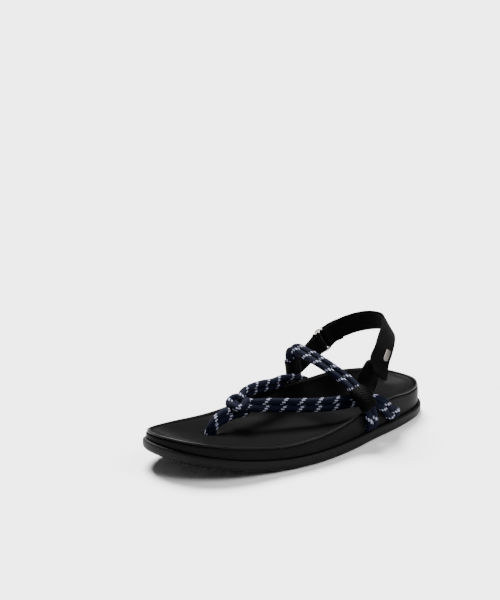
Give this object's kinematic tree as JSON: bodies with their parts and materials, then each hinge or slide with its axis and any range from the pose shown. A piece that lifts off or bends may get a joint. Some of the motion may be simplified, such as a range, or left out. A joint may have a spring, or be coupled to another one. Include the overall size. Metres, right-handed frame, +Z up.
{
  "type": "rope sandal",
  "caption": "Sandal for the left foot with a doubled rope upper, a toe cord hitched to it, a padded heel strap and a moulded footbed.",
  "frame": {"origin": "on the ground, under the middle of the outsole's length and width", "axes": "+Z up, the toe towards -Y, the outer (lateral) side of the foot towards +X"},
  "size_m": [0.1152, 0.29, 0.0929],
  "materials": {
    "outsole_rubber": "matte moulded rubber",
    "midsole_skin": "satin foam skin",
    "footbed_skin": "satin synthetic leather",
    "navy_cord": "braided polyester cord with light tracer flecks",
    "black_webbing": "ribbed webbing",
    "strap_fabric": "woven strap with a soft lining",
    "polished_steel": "bright metal",
    "brushed_plate": "satin metal"
  },
  "bodies": {
    "root": {"outsole": "outsole_rubber", "midsole": "midsole_skin", "footbed": "footbed_skin", "front_rope": "navy_cord", "instep_rope": "navy_cord", "lateral_loop": "black_webbing", "medial_loop": "black_webbing", "ring": "polished_steel", "heel_strap": "strap_fabric", "strap_plate": "brushed_plate"}
  },
  "joints": []
}
